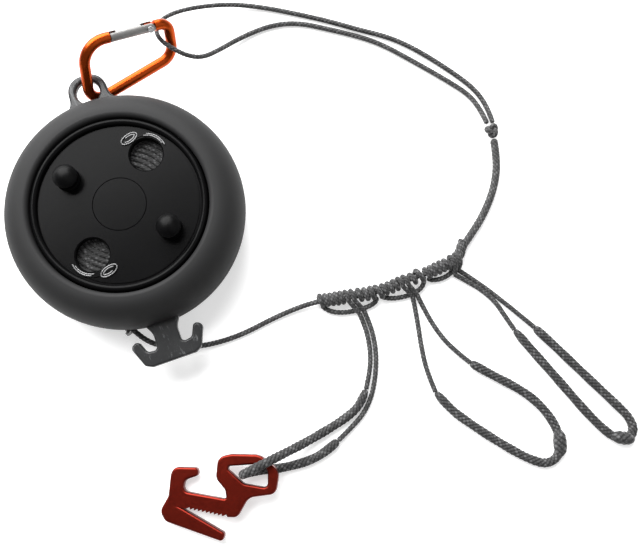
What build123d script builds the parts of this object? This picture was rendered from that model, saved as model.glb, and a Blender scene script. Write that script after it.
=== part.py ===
from build123d import *
import math
import os

# Hand-wound ridgeline reel for a hammock or tarp: a grey ring housing with a black crank disc,
# a lug with a small carabiner, an anchor-shaped line cleat, and a braided line that carries
# three prusik loops, one of them with a toothed line hook.
# Millimetres. The rear face lies on z = 0, the reel's axis is Z, and the lug points along +Y.

os.makedirs("parts", exist_ok=True)

# ---------------------------------------------------------------- driving dimensions
RING_D = 85.0  # over the soft ring
REEL_H = 26.0  # rear face to the ring's front crest
FRONT_BAND = 11.5  # lip's inner edge to the ring's widest place
REAR_BAND = 6.5  # rear cover's edge to the ring's widest place
LIP_ROUND = 1.6  # rounded inner edge of the front lip
REAR_ROUND = 1.0  # rounded rear edge of the ring
PARTING = 0.25  # small groove where the two ring halves meet

WALL = 2.2  # housing wall around the spool
WALL_COVERED = 3.4  # how far the wall's top stays under the lip's crest
PLATE = 3.4  # middle plate that carries the lug and the cleat
PLATE_HOLD = 3.0  # soft ring left outside the middle plate
COVER = 2.0  # rear cover
SCREW_COUNT = 4
SCREW_ANGLE = 20.0
SCREW_D = 2.0
SCREW_HEAD_D = 3.6
SCREW_LENGTH = 7.0

LUG_REACH = 4.5  # lug hole's centre beyond the ring
LUG_R = 6.8
LUG_HOLE_D = 8.6
LUG_FOOT = 20.0  # width where the lug joins the ring
LUG_ROUND = 1.1  # rounded edges of the lug and its hole

CLEAT_STEM = 8.6
CLEAT_FOOT = 13.5
CLEAT_SPAN = 24.8
CLEAT_BASE = 19.0
CLEAT_REACH = 13.6  # cleat's end beyond the ring
NOTCH_R = 2.0
CLEAT_ROUND = 0.8

DISC_GAP = 0.4  # crank disc to lip, radial
DISC_DROP = 2.0  # disc's face below the lip's crest
DISC_T = 2.3
BEAD_W = 2.4
BEAD_H = 1.3
FLANGE_T = 1.6
AXIAL_GAP = 0.6  # spool's rear flange to the cover
CORE_R = 9.0
FLANGE_SHORT = 1.6  # rear flange's edge inside the disc's edge
COIL_SHORT = 3.1  # wound line's surface inside the disc's edge
COIL_CLEAR = 0.4  # wound line to the disc's underside

POST_R = 4.5
RUN_FIT = 0.05  # running fit, radial
BUSH_T = 1.2
WASHER_ROOM = 0.4  # washer's edge to the disc's recess
SPIGOT_WALL = 1.3  # disc's spigot outside the washer's recess
SPIGOT_DEEP = 3.2
WASHER_D = 10.6
WASHER_T = 0.6
AXLE_SCREW_D = 2.8
AXLE_HEAD_D = 5.8
AXLE_HEAD_T = 1.5
AXLE_SCREW_L = 10.0
CAP_D = 18.8
CAP_T = 1.1

PITCH_R = 19.7  # finger holes and pegs
FINGER_HOLE_D = 11.6
HOLE_CHAMFER = 0.4
PEG_D = 8.4
PEG_H = 6.6
PEG_DOME_R = 5.2
STUD_D = 4.0
RELIEF = 0.35

LINE_D = 2.0
EYELET_BORE = 2.5
EYELET_D = 4.4
COLLAR_D = 6.0
COLLAR_T = 1.0
EXIT_ANGLE = -106.0
EXIT_Z = 6.8
COIL_GAP = 0.3  # lead line to the wound line

WIRE_D = 4.0  # carabiner wire
GATE_D = 3.8
TANG_T = 1.5
TANG_FIT = 0.15
RIVET_D = 1.5

HOOK_T = 3.2
HOOK_ROUND = 0.7
TOOTH = 1.45
TOOTH_DEEP = 0.8

LEG_D = 1.9  # prusik cord
SPLICE_D = 3.4  # prusik cord with its own tail buried inside
BURY_D = 3.0  # line with its own tail buried inside
KNOT_D = 5.6
BRIDGE_D = 1.9

# ---------------------------------------------------------------- sizes that follow
RING_R = RING_D / 2
MID_Z = REEL_H / 2
LIP_R = RING_R - FRONT_BAND
CREST_R = LIP_R + LIP_ROUND
COVER_R = RING_R - REAR_BAND
PLATE_R = RING_R - PLATE_HOLD
PLATE_LOW = MID_Z - PLATE / 2
PLATE_TOP = MID_Z + PLATE / 2
WALL_TOP = REEL_H - WALL_COVERED
SCREW_PITCH_R = (LIP_R + COVER_R) / 2

DISC_R = LIP_R - DISC_GAP
FACE_Z = REEL_H - DISC_DROP
DISC_LOW = FACE_Z - DISC_T
FLANGE_LOW = COVER + AXIAL_GAP
FLANGE_TOP = FLANGE_LOW + FLANGE_T
FLANGE_R = DISC_R - FLANGE_SHORT
COIL_R = DISC_R - COIL_SHORT
COIL_TOP = DISC_LOW - COIL_CLEAR
CAP_LOW = FACE_Z - CAP_T
BUSH_R = POST_R + RUN_FIT
SPIGOT_LOW = DISC_LOW - SPIGOT_DEEP
RECESS_R = WASHER_D / 2 + WASHER_ROOM
SPIGOT_R = RECESS_R + SPIGOT_WALL
HEAD_ROOM = 0.3
POST_TOP = CAP_LOW - HEAD_ROOM - AXLE_HEAD_T - WASHER_T
SEAT_Z = POST_TOP - 0.1  # disc's floor under the washer

LUG_Y = RING_R + LUG_REACH
CLEAT_Y = -(RING_R + CLEAT_REACH)

LEAD_R = COIL_R + COIL_GAP + LINE_D / 2
EXIT_R = RING_R - 0.3
EXIT_POINT = Vector(
    EXIT_R * math.cos(math.radians(EXIT_ANGLE)),
    EXIT_R * math.sin(math.radians(EXIT_ANGLE)),
    EXIT_Z,
)
EXIT_TURN = math.asin(LEAD_R / EXIT_R)
EXIT_HEADING = math.radians(EXIT_ANGLE) + EXIT_TURN
EXIT_DIR = Vector(math.cos(EXIT_HEADING), math.sin(EXIT_HEADING), 0)
LEAD_START = EXIT_POINT - EXIT_DIR * (EXIT_R * math.cos(EXIT_TURN))


# ---------------------------------------------------------------- helpers
def write(shape, node):
    """Writes one node's STEP file."""
    export_step(shape, f"parts/{node}.step")


def ring(*points):
    """A turned solid from a closed (radius, height) outline about Z."""
    outline = make_face(Polyline(*[(r, 0, z) for r, z in points], close=True))
    return revolve(outline, Axis.Z)


def disc(radius, low, high, x=0.0, y=0.0):
    """A cylinder between two heights."""
    return Pos(x, y, (low + high) / 2) * Cylinder(radius, high - low)


def plate(corners, low, high):
    """A flat plate from (x, y, corner radius) points, between two heights."""
    outline = FilletPolyline(*[(x, y) for x, y, _ in corners], radius=[r for _, _, r in corners], close=True)
    return Pos(0, 0, low) * extrude(make_face(outline), high - low)


def softened(solid, radius):
    """The same plate with its top and bottom edges rounded."""
    levels = solid.edges().group_by(Axis.Z)
    return fillet(levels[0] + levels[-1], radius)


def along(start, direction, radius, length):
    """A round bar from a point along a direction."""
    place = Plane(origin=start, z_dir=direction)
    return place * Pos(0, 0, length / 2) * Cylinder(radius, length)


def polar(radius, angle):
    return radius * math.cos(math.radians(angle)), radius * math.sin(math.radians(angle))


def cord(points, diameter, node):
    """A free cord's tube: straight runs joined by arcs as large as the runs allow."""
    route = [Vector(*p) for p in points]
    runs = [(b - a).length for a, b in zip(route, route[1:])]
    radii = []
    for i in range(1, len(route) - 1):
        turn = (route[i] - route[i - 1]).get_angle(route[i + 1] - route[i])
        radii.append(0.45 * min(runs[i - 1], runs[i]) / math.tan(math.radians(turn / 2)))
    path = FilletPolyline(*route, radius=radii) if radii else Line(*route)
    section = Plane(origin=route[0], z_dir=route[1] - route[0]) * Circle(diameter / 2)
    tube = sweep(section, path=path)
    share = tube.volume / (math.pi * diameter**2 / 4 * path.length)
    tightest = f"{min(radii):.1f}" if radii else "straight"
    print(f"{node}: length {path.length:.1f}, tightest {tightest}, run {max(runs):.1f}, volume {share:.4f}")
    write(tube, node)
    return tube


# ---------------------------------------------------------------- housing
def lug_plate():
    """The lug: a rounded tongue with the carabiner's hole, flaring into the ring."""
    foot = math.sqrt(RING_R**2 - (LUG_FOOT / 2) ** 2)
    inner = PLATE_R - 2.0
    corners = [
        (-LUG_FOOT / 2 - 1.5, inner - 4.0, 1.5),
        (LUG_FOOT / 2 + 1.5, inner - 4.0, 1.5),
        (LUG_FOOT / 2, foot - 0.5, 1.5),
        (LUG_R + 0.6, foot + 3.2, 4.0),
        (LUG_R - 0.1, LUG_Y + LUG_R, LUG_R - 0.8),
        (-LUG_R + 0.1, LUG_Y + LUG_R, LUG_R - 0.8),
        (-LUG_R - 0.6, foot + 3.2, 4.0),
        (-LUG_FOOT / 2, foot - 0.5, 1.5),
    ]
    return plate(corners, PLATE_LOW, PLATE_TOP)


def lug_hole():
    return disc(LUG_HOLE_D / 2, PLATE_LOW - 1, PLATE_TOP + 1, 0, LUG_Y)


def cleat_plate():
    """The anchor-shaped cleat: a stem and two upturned arms that trap the line."""
    top = -(PLATE_R - 6.0)
    notch = NOTCH_R * 2
    half = [
        (CLEAT_FOOT / 2, top, 0.5),
        (CLEAT_FOOT / 2 - 0.6, -RING_R + 0.6, 1.0),
        (CLEAT_STEM / 2, -RING_R - 2.6, 5.0),
        (CLEAT_STEM / 2 + 0.1, CLEAT_Y + 5.0, NOTCH_R * 0.7),
        (CLEAT_STEM / 2 + notch * 0.95, CLEAT_Y + 5.6, NOTCH_R * 0.9),
        (CLEAT_SPAN / 2 - 2.3, CLEAT_Y + 10.3, 1.4),
        (CLEAT_SPAN / 2 + 0.9, CLEAT_Y + 8.9, 1.7),
        (CLEAT_BASE / 2 + 0.7, CLEAT_Y + 1.2, 1.5),
        (CLEAT_BASE / 2 - 1.6, CLEAT_Y, 1.5),
    ]
    mirrored = [(-x, y, r) for x, y, r in reversed(half)]
    return plate(half + mirrored, PLATE_LOW, PLATE_TOP)


LUG_SOLID = lug_plate()
CLEAT_SOLID = cleat_plate()
EYELET_START = LEAD_START + EXIT_DIR * 6.0
EYELET_LENGTH = (EXIT_POINT - EYELET_START).length
EYELET_SPACE = along(EYELET_START, EXIT_DIR, EYELET_D / 2, EYELET_LENGTH)
COLLAR_SPACE = along(EXIT_POINT - EXIT_DIR * COLLAR_T, EXIT_DIR, COLLAR_D / 2, COLLAR_T * 3)


def screw_places():
    for k in range(SCREW_COUNT):
        yield polar(SCREW_PITCH_R, SCREW_ANGLE + 360 / SCREW_COUNT * k)


def build_frame():
    body = ring(
        (LIP_R, COVER),
        (COVER_R, COVER),
        (COVER_R, PLATE_LOW),
        (PLATE_R, PLATE_LOW),
        (PLATE_R, PLATE_TOP),
        (LIP_R + WALL, PLATE_TOP),
        (LIP_R + WALL, WALL_TOP),
        (LIP_R, WALL_TOP),
    )
    spool_space = disc(LIP_R, 0, REEL_H)
    ears = softened(LUG_SOLID, LUG_ROUND) + softened(CLEAT_SOLID, CLEAT_ROUND)
    body = body + (ears - spool_space) - lug_hole() - EYELET_SPACE
    for x, y in screw_places():
        body -= disc(SCREW_D / 2, COVER - 1, SCREW_LENGTH, x, y)
    hole_edges = body.edges().filter_by(GeomType.CIRCLE).filter_by(
        lambda e: abs(e.radius - LUG_HOLE_D / 2) < 1e-3 and abs(e.arc_center.Y - LUG_Y) < 1e-3
    )
    return fillet(hole_edges, LUG_ROUND)


def ring_half(edge_r, edge_z):
    """Outer line of one ring half, from the parting line to the edge's crest: a quarter ellipse."""
    arc = EllipticalCenterArc(
        (edge_r, MID_Z),
        RING_R - edge_r,
        abs(edge_z - MID_Z),
        start_angle=0,
        arc_size=90 if edge_z > MID_Z else -90,
    )
    return arc


def build_front_ring():
    outer = ring_half(CREST_R, REEL_H)
    lip = CenterArc((CREST_R, REEL_H - LIP_ROUND), LIP_ROUND, 90, 90)
    rest = Polyline(
        (LIP_R, REEL_H - LIP_ROUND),
        (LIP_R, WALL_TOP),
        (LIP_R + WALL, WALL_TOP),
        (LIP_R + WALL, PLATE_TOP),
        (PLATE_R, PLATE_TOP),
        (PLATE_R, MID_Z),
        (RING_R, MID_Z),
    )
    half = Plane.XZ * make_face([outer, lip, rest])
    body = revolve(half, Axis.Z)
    seam = ring((RING_R - PARTING, MID_Z), (RING_R + 1, MID_Z), (RING_R + 1, MID_Z + PARTING + 1))
    return body - seam - LUG_SOLID - CLEAT_SOLID


def build_rear_ring():
    outer = ring_half(COVER_R + REAR_ROUND, 0.0)
    edge = CenterArc((COVER_R + REAR_ROUND, REAR_ROUND), REAR_ROUND, 180, 90)
    rest = Polyline(
        (COVER_R, REAR_ROUND),
        (COVER_R, PLATE_LOW),
        (PLATE_R, PLATE_LOW),
        (PLATE_R, MID_Z),
        (RING_R, MID_Z),
    )
    half = Plane.XZ * make_face([outer, edge, rest])
    body = revolve(half, Axis.Z)
    seam = ring((RING_R - PARTING, MID_Z), (RING_R + 1, MID_Z), (RING_R + 1, MID_Z - PARTING - 1))
    return body - seam - LUG_SOLID - CLEAT_SOLID - EYELET_SPACE - COLLAR_SPACE


def build_rear_cover():
    body = disc(COVER_R, 0, COVER)
    body += disc(POST_R + 3.0, COVER - 0.2, COVER + AXIAL_GAP - 0.3)
    body += disc(POST_R, COVER - 0.2, POST_TOP)
    body -= disc(AXLE_SCREW_D / 2, POST_TOP - AXLE_SCREW_L, POST_TOP + 1)
    head_r, bore_r = SCREW_HEAD_D / 2, SCREW_D / 2
    sink = ring((0, -1), (head_r, -1), (head_r, 0), (bore_r, head_r - bore_r), (bore_r, COVER + 1), (0, COVER + 1))
    for x, y in screw_places():
        body -= Pos(x, y, 0) * sink
    return body


def build_cover_screws():
    head_r, shank_r = SCREW_HEAD_D / 2, SCREW_D / 2
    screw = ring((0, 0), (head_r, 0), (shank_r, head_r - shank_r), (shank_r, SCREW_LENGTH), (0, SCREW_LENGTH))
    cross = Pos(0, 0, 0.3) * (Box(2.0, 0.5, 0.6) + Box(0.5, 2.0, 0.6))
    screw -= cross
    return Compound(children=[Pos(x, y, 0) * screw for x, y in screw_places()])


def build_line_eyelet():
    body = along(EYELET_START, EXIT_DIR, EYELET_D / 2, EYELET_LENGTH)
    body += along(EXIT_POINT - EXIT_DIR * COLLAR_T, EXIT_DIR, COLLAR_D / 2, COLLAR_T)
    body -= disc(LIP_R, 0, REEL_H)
    return body - along(EYELET_START, EXIT_DIR, EYELET_BORE / 2, EYELET_LENGTH)


# ---------------------------------------------------------------- spool
def build_crank_disc():
    bead_r = DISC_R - BEAD_W
    body = disc(DISC_R, DISC_LOW, FACE_Z)
    bead = Plane.XZ * make_face(
        [
            EllipticalCenterArc((DISC_R - BEAD_W / 2, FACE_Z), BEAD_W / 2, BEAD_H, start_angle=0, arc_size=180),
            Polyline((bead_r, FACE_Z), (bead_r, FACE_Z - 0.5), (DISC_R, FACE_Z - 0.5), (DISC_R, FACE_Z)),
        ]
    )
    body += revolve(bead, Axis.Z)
    body -= ring((bead_r - 0.7, FACE_Z + 1), (bead_r, FACE_Z + 1), (bead_r, FACE_Z - 0.4), (bead_r - 0.7, FACE_Z - 0.4))
    body += disc(SPIGOT_R, SPIGOT_LOW, DISC_LOW + 0.5)
    body -= disc(BUSH_R, SPIGOT_LOW - 1, SEAT_Z + 0.5)
    body -= disc(RECESS_R, SEAT_Z, FACE_Z + 1)
    body -= disc(CAP_D / 2, CAP_LOW, FACE_Z + 1)
    for angle in (45, 225):
        x, y = polar(PITCH_R, angle)
        body -= disc(FINGER_HOLE_D / 2, DISC_LOW - 1, FACE_Z + 1, x, y)
        flare = Cone(FINGER_HOLE_D / 2, FINGER_HOLE_D / 2 + 2 * HOLE_CHAMFER, 2 * HOLE_CHAMFER)
        body -= Pos(x, y, FACE_Z) * flare
        body += relief_mark(angle)
    for angle in (135, 315):
        x, y = polar(PITCH_R, angle)
        body -= disc(STUD_D / 2, DISC_LOW - 1, FACE_Z + 1, x, y)
    return body


def relief_mark(angle):
    """A raised crescent on the rim side of a finger hole, ending in an oval: the winding direction."""
    inner, outer = FINGER_HOLE_D / 2 + 0.9, FINGER_HOLE_D / 2 + 2.1
    x, y = polar(PITCH_R, angle)
    band = Circle(outer) - Circle(inner)
    wedge = make_face(Polyline((0, 0), polar(20, angle - 25), polar(20, angle + 15), polar(20, angle + 52), close=True))
    ox, oy = polar((inner + outer) / 2 + 0.4, angle + 68)
    oval = Pos(ox, oy) * Rot(0, 0, angle + 150) * Ellipse(2.9, 1.5)
    mark = (band & wedge) + (oval - Circle(inner))
    return Pos(x, y, FACE_Z - 0.1) * extrude(mark, RELIEF + 0.1)


def build_spool_core():
    bore = BUSH_R + BUSH_T
    return ring(
        (bore, FLANGE_LOW),
        (FLANGE_R, FLANGE_LOW),
        (FLANGE_R, FLANGE_TOP),
        (CORE_R, FLANGE_TOP),
        (CORE_R, DISC_LOW),
        (SPIGOT_R, DISC_LOW),
        (SPIGOT_R, SPIGOT_LOW),
        (bore, SPIGOT_LOW),
    )


def build_bush():
    return disc(BUSH_R + BUSH_T, FLANGE_LOW, SPIGOT_LOW) - disc(BUSH_R, 0, REEL_H)


def build_finger_peg(angle):
    x, y = polar(PITCH_R, angle)
    r = PEG_D / 2
    top = FACE_Z + PEG_H
    side = ring((0, FACE_Z), (r, FACE_Z), (r, FACE_Z + 0.8), (r - 0.5, FACE_Z + 1.6), (r, top - 2.0), (r, top), (0, top))
    dome = Pos(0, 0, top - PEG_DOME_R) * Sphere(PEG_DOME_R)
    return Pos(x, y, 0) * ((side & dome) + disc(STUD_D / 2, DISC_LOW, FACE_Z + 0.1))


def build_wound_line():
    return disc(COIL_R, FLANGE_TOP, COIL_TOP) - disc(CORE_R, 0, REEL_H)


def build_axle_washer():
    return disc(WASHER_D / 2, POST_TOP, POST_TOP + WASHER_T) - disc(AXLE_SCREW_D / 2, 0, REEL_H)


def build_axle_screw():
    top = POST_TOP + WASHER_T
    body = disc(AXLE_SCREW_D / 2, POST_TOP - AXLE_SCREW_L, top) + disc(AXLE_HEAD_D / 2, top, top + AXLE_HEAD_T)
    return body - Pos(0, 0, top + AXLE_HEAD_T) * (Box(3.2, 0.7, 1.6) + Box(0.7, 3.2, 1.6))


def build_hub_cap():
    body = disc(CAP_D / 2, CAP_LOW, FACE_Z)
    return chamfer(body.edges().group_by(Axis.Z)[-1], 0.3)


# ---------------------------------------------------------------- carabiner
# The carabiner lies across the lug: its wide end passes through the hole and its narrow end
# leans down to the ground. Its outline is drawn in its own plane.
CARABINER_SLOPE_X = -0.496
CARABINER_SLOPE_Y = 1.563
CARABINER_NORMAL = Vector(-CARABINER_SLOPE_X, -CARABINER_SLOPE_Y, 1).normalized()
CARABINER_ALONG = Vector(0.935, 0.311, -0.171)
CARABINER_PLACE = Plane(origin=(-1.14, LUG_Y - 2.56, MID_Z - 3.66), x_dir=CARABINER_ALONG, z_dir=CARABINER_NORMAL)
CORNERS = [(0.0, 0.0, 4.6), (7.0, 22.6, 9.0), (38.8, 15.4, 3.6), (36.1, 2.3, 6.4)]
NOSE_AT = 0.31  # along the gate side, from the wide end
PIVOT_AT = 0.835


def gate_line():
    """The gate side of the outline: its start, its direction and its length."""
    (ax, ay, _), (bx, by, _) = CORNERS[1], CORNERS[2]
    start, end = Vector(ax, ay, 0), Vector(bx, by, 0)
    return start, (end - start).normalized(), (end - start).length


def on_gate(share):
    start, direction, length = gate_line()
    return start + direction * (length * share)


def build_carabiner_body():
    nose, pivot = on_gate(NOSE_AT), on_gate(PIVOT_AT)
    points = [(nose.X, nose.Y)] + [
        (x, y) for x, y, _ in (CORNERS[1], CORNERS[0], CORNERS[3], CORNERS[2])
    ] + [(pivot.X, pivot.Y)]
    radii = [CORNERS[k][2] for k in (1, 0, 3, 2)]
    path = FilletPolyline(*points, radius=radii)
    direction = gate_line()[1]
    section = Plane(origin=nose, z_dir=direction * -1) * Circle(WIRE_D / 2)
    body = sweep(section, path=path)
    tang_long = 4.2
    angle = math.degrees(math.atan2(direction.Y, direction.X))
    nose_tab = Pos(nose.X, nose.Y, 0) * Rot(0, 0, angle) * Pos(0.8, 0, 0) * Box(2.6, 1.6, TANG_T)
    tang = Pos(pivot.X, pivot.Y, 0) * Rot(0, 0, angle) * (
        Pos(-tang_long / 2 + 0.6, 0, 0) * Box(tang_long, 2.6, TANG_T)
    )
    rivet = rivet_place()
    body = body + nose_tab + tang - Pos(rivet.X, rivet.Y, 0) * Cylinder(RIVET_D / 2, WIRE_D * 2)
    return CARABINER_PLACE * body


def rivet_place():
    direction = gate_line()[1]
    return on_gate(PIVOT_AT) - direction * 2.1


def gate_frame():
    """Local place on the gate: x runs from the rivet to the nose, z is the carabiner's normal."""
    direction = gate_line()[1] * -1
    angle = math.degrees(math.atan2(direction.Y, direction.X))
    rivet = rivet_place()
    length = (rivet - on_gate(NOSE_AT)).length
    return Pos(rivet.X, rivet.Y, 0) * Rot(0, 0, angle), length


def build_carabiner_gate():
    place, length = gate_frame()
    gap = 0.3
    bar = Pos(length / 2 - 0.2 - gap / 2, 0, 0) * Rot(0, 90, 0) * Cylinder(GATE_D / 2, length + 0.4 - gap)
    bar += Cylinder(GATE_D / 2, GATE_D * 0.999) & (Pos(0, 0, 0) * Rot(0, 90, 0) * Cylinder(GATE_D / 2, GATE_D))
    fork = Pos(-0.5, 0, 0) * Box(7.2, GATE_D * 2, TANG_T + 2 * TANG_FIT)
    # The gate swings to its own +y side, so the nose slot is open on its -y side only.
    slot = Pos(length, -GATE_D / 2, 0) * Box(2 * (2.1 + 0.4), GATE_D + 2.2, TANG_T + 2 * TANG_FIT)
    bore = Pos(3.0 + 4.4, 0, 0) * Rot(0, 90, 0) * Cylinder(1.05, 9.0)
    body = bar - fork - slot - bore - Cylinder(RIVET_D / 2, WIRE_D * 2)
    return CARABINER_PLACE * place * body


def build_gate_rivet():
    place, _ = gate_frame()
    body = Cylinder(RIVET_D / 2, GATE_D + 0.6)
    for side in (-1, 1):
        body += Pos(0, 0, side * (GATE_D / 2 + 0.3)) * Cylinder(RIVET_D * 0.8, 0.5)
    return CARABINER_PLACE * place * body


def build_gate_spring():
    place, _ = gate_frame()
    coil = Cylinder(1.0, 5.4) - Cylinder(0.6, 5.4)
    return CARABINER_PLACE * place * Pos(3.1 + 1.5 + 2.7, 0, 0) * Rot(0, 90, 0) * coil


def build_gate_plunger():
    place, _ = gate_frame()
    body = Pos(0.75, 0, 0) * Rot(0, 90, 0) * Cylinder(0.95, 1.5)
    return CARABINER_PLACE * place * Pos(3.1, 0, 0) * body


# ---------------------------------------------------------------- line hook
# A flat toothed hook, drawn lying flat with its spike at the bottom and its eye at the upper
# right, then laid on the ground with the eye's end resting on the cord.
HOOK_OUTLINE = [
    (12.8, 24.5, 1.4),
    (13.0, 21.8, 1.3),
    (8.1, 20.1, 2.2),
    (7.6, 16.3, 2.0),
    (23.2, 13.9, 0.7),
    (22.7, 17.0, 2.0),
    (19.2, 20.9, 3.2),
    (19.8, 28.2, 3.2),
    (24.6, 29.3, 6.0),
    (34.8, 29.2, 6.0),
    (41.7, 23.6, 4.0),
    (40.6, 15.9, 2.8),
    (30.9, 14.5, 4.5),
    (27.2, 7.8, 2.4),
]
HOOK_SPIKE = [
    (23.1, 2.4, 1.25),
    (22.1, -0.4, 1.25),
    (1.6, 6.0, 3.0),
    (-0.5, 9.4, 3.0),
    (2.4, 14.6, 4.0),
    (3.0, 22.4, 4.0),
    (4.4, 24.6, 2.6),
]
HOOK_EYE = [(22.4, 25.0, 0.8), (37.6, 26.2, 3.2), (37.7, 17.9, 1.4), (29.3, 19.2, 3.0)]
JAW = (6.9, 10.8)  # where spike and toothed edge meet
TEETH_END = (23.6, 7.8)
HOOK_TURN = -19.7
HOOK_TILT = 6.7
HOOK_ORIGIN = (-25.2, -112.9, 0.1)


def hook_teeth():
    """Points of the toothed edge, from the body's end back to the jaw."""
    start, end = Vector(*TEETH_END), Vector(*JAW)
    run = end - start
    count = int((run.length - 1.6) // TOOTH)
    direction = run.normalized()
    inward = Vector(-direction.Y, direction.X) * -1
    points = [(start.X, start.Y, 0.4)]
    for k in range(count):
        root = start + direction * (0.6 + TOOTH * k) + inward * TOOTH_DEEP
        tip = start + direction * (0.6 + TOOTH * (k + 0.85))
        points += [(root.X, root.Y, 0), (tip.X, tip.Y, 0)]
    return points


HOOK_PLACE = Pos(*HOOK_ORIGIN) * Rot(0, 0, HOOK_TURN) * Rot(0, -HOOK_TILT, 0)


def build_line_hook():
    teeth = hook_teeth() + [(*JAW, 0)]
    body = plate(HOOK_OUTLINE + teeth + HOOK_SPIKE, 0, HOOK_T) - plate(HOOK_EYE, -1, HOOK_T + 1)

    def on_teeth(edge):
        ends = [min(math.dist((v.X, v.Y), (x, y)) for x, y, _ in teeth[1:]) for v in edge.vertices()]
        return len(ends) == 2 and max(ends) < 0.05

    levels = body.edges().group_by(Axis.Z)
    rounded = [e for e in levels[0] + levels[-1] if not on_teeth(e)]
    return HOOK_PLACE * fillet(rounded, HOOK_ROUND)


# ---------------------------------------------------------------- line and loops
LINE_LOW = LINE_D / 2
KNOT_Z = 2.9
LINE_ROUTE = [
    tuple(EXIT_POINT),
    tuple(EXIT_POINT + EXIT_DIR * 5.2 + Vector(0, 0, -0.6)),
    (-3.6, -49.6, 3.6),
    (4.6, -52.7, 1.6),
    (14.5, -54.4, LINE_LOW),
    (25.0, -54.4, LINE_LOW),
    (36.8, -52.6, LINE_LOW),
    (47.0, -51.9, 1.5),
    (55.2, -52.4, KNOT_Z),
    (64.2, -54.6, KNOT_Z),
    (75.9, -56.4, KNOT_Z),
    (85.4, -56.1, KNOT_Z),
    (94.4, -55.7, KNOT_Z),
    (102.6, -56.2, KNOT_Z),
    (107.6, -55.0, 2.7),
    (111.0, -51.8, 2.2),
]
BURY_ROUTE = [
    (111.0, -51.8, 2.2),
    (116.6, -47.9, 1.6),
    (124.4, -42.0, BURY_D / 2),
    (132.2, -33.4, BURY_D / 2),
    (137.2, -23.8, BURY_D / 2),
    (138.7, -15.6, 2.2),
]
END_KNOT = (139.0, -12.6, 3.3)
END_LOOP_ROUTE = [
    (140.6, -9.8, 2.6),
    (141.6, -3.9, 1.3),
    (139.8, 5.6, LINE_LOW),
    (132.8, 16.6, LINE_LOW),
    (123.4, 28.9, LINE_LOW),
    (115.4, 36.8, LINE_LOW),
    (105.0, 43.7, LINE_LOW),
    (95.8, 50.4, LINE_LOW),
    (84.9, 57.4, LINE_LOW),
    (73.2, 64.4, LINE_LOW),
    (61.8, 69.1, 2.2),
    (49.9, 70.6, 5.0),
    (40.2, 69.4, 9.0),
    (33.7, 66.6, 12.0),
    (30.5, 62.1, 13.8),
    (31.2, 57.3, 14.6),
    (34.5, 53.0, 14.2),
    (38.6, 50.1, 11.2),
    (44.0, 49.5, 7.0),
    (51.4, 52.3, 3.2),
    (60.6, 55.3, 1.3),
    (72.6, 56.5, LINE_LOW),
    (83.4, 54.2, LINE_LOW),
    (94.4, 47.4, LINE_LOW),
    (105.0, 40.4, LINE_LOW),
    (112.2, 34.4, LINE_LOW),
    (121.0, 24.2, LINE_LOW),
    (130.6, 12.6, LINE_LOW),
    (136.8, 4.2, LINE_LOW),
    (138.6, -3.4, 1.4),
    (138.4, -9.4, 2.8),
]
KNOTS = [((55.4, -52.5), (75.2, -56.2)), ((76.6, -56.4), (94.2, -55.8)), ((95.6, -55.9), (108.6, -54.6))]
LEG_LOW = LEG_D / 2
BRIDGES = [
    [(55.9, -55.6, 1.6), (58.6, -58.0, 1.3), (63.4, -59.3, 1.1), (68.3, -59.6, 1.2), (72.8, -60.0, 1.3), (75.6, -58.8, 1.8)],
    [(77.6, -58.8, 1.6), (80.8, -60.4, 1.2), (85.0, -60.9, 1.1), (89.2, -60.9, 1.1), (92.4, -60.3, 1.3), (94.2, -58.4, 1.9)],
    [(96.2, -58.5, 1.6), (99.2, -59.2, 1.2), (102.4, -59.2, 1.1), (105.6, -58.4, 1.4)],
]
LEGS = {
    "prusik_1_leg_a": [
        (67.4, -61.6, 1.6),
        (67.8, -66.8, LEG_LOW),
        (67.2, -72.4, LEG_LOW),
        (65.8, -78.0, LEG_LOW),
        (63.3, -83.4, 1.2),
        (60.2, -88.2, 1.7),
    ],
    "prusik_1_leg_b": [
        (69.3, -61.0, 1.6),
        (69.8, -66.8, LEG_LOW),
        (69.2, -72.8, LEG_LOW),
        (67.8, -78.6, LEG_LOW),
        (65.2, -84.8, LEG_LOW),
        (61.6, -91.0, LEG_LOW),
        (56.8, -96.0, LEG_LOW),
        (50.6, -99.4, 1.2),
        (44.6, -102.0, 1.7),
    ],
    "prusik_2_leg_a": [
        (88.2, -61.9, 1.5),
        (87.4, -67.6, LEG_LOW),
        (86.1, -74.0, LEG_LOW),
        (84.6, -81.2, LEG_LOW),
        (83.4, -89.6, 1.2),
        (83.7, -97.6, 1.7),
    ],
    "prusik_2_leg_b": [
        (89.9, -61.9, 1.5),
        (90.6, -68.0, LEG_LOW),
        (92.0, -76.2, LEG_LOW),
        (94.9, -84.6, 1.2),
        (99.5, -92.0, 1.7),
    ],
    "prusik_3_leg_a": [
        (107.6, -58.4, 1.6),
        (111.2, -62.8, LEG_LOW),
        (114.8, -67.8, LEG_LOW),
        (118.4, -73.5, LEG_LOW),
        (122.6, -80.6, 1.2),
        (126.6, -87.8, 1.7),
    ],
    "prusik_3_leg_b": [
        (105.8, -59.6, 1.6),
        (109.5, -64.0, LEG_LOW),
        (113.2, -69.1, LEG_LOW),
        (116.2, -74.6, LEG_LOW),
        (117.9, -80.4, 1.2),
        (119.3, -86.2, 1.7),
    ],
}
SPLICE_LOW = SPLICE_D / 2
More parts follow.
